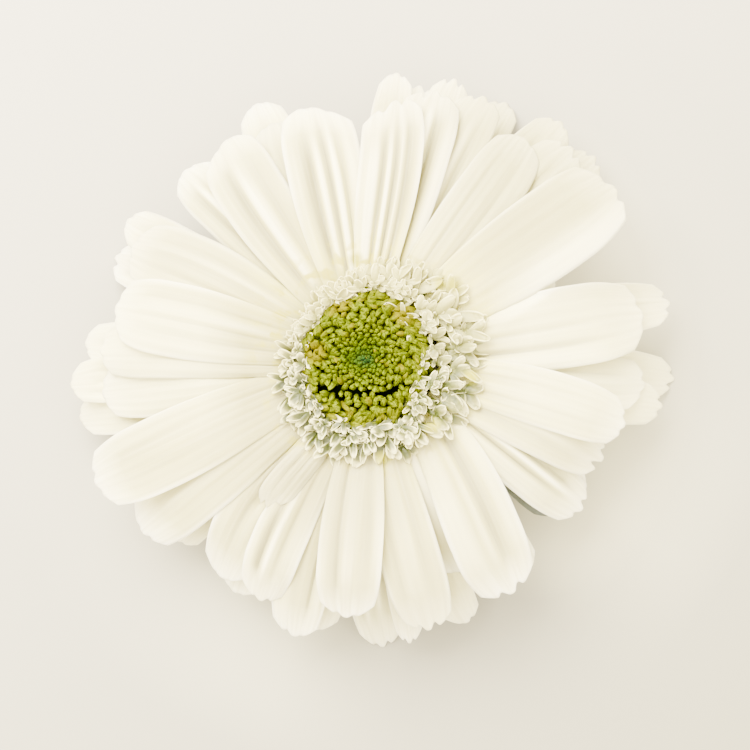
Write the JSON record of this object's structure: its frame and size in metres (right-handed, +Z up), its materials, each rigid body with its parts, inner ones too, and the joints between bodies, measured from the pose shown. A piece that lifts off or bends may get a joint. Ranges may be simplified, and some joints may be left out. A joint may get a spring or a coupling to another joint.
{
  "type": "gerbera daisy",
  "caption": "Cut gerbera daisy head lying face up: domed green disc in a ring of short white florets, layered white petals, cupped bracts under them and a short stub of stem.",
  "frame": {"origin": "on the surface that the head lies on, under the middle of the flower, which is its axis", "axes": "+Z up out of the middle of the disc, away from the surface; +Y towards the top of the picture and +X towards its right"},
  "size_m": [0.1117, 0.1063, 0.0272],
  "materials": {
    "stem": "pale green hairy stem, with a paler cut face",
    "bract": "matt green bracts with fine hairs",
    "petal": "soft creamy white petal, satin, yellow green towards its root",
    "floret": "soft white florets with a green tint at their roots",
    "bud": "yellow green buds, slightly waxy"
  },
  "bodies": {
    "root": {"stem": "stem", "involucre": "bract", "ray_florets": "petal", "trans_florets": "floret", "disc_florets": "bud"}
  },
  "joints": []
}
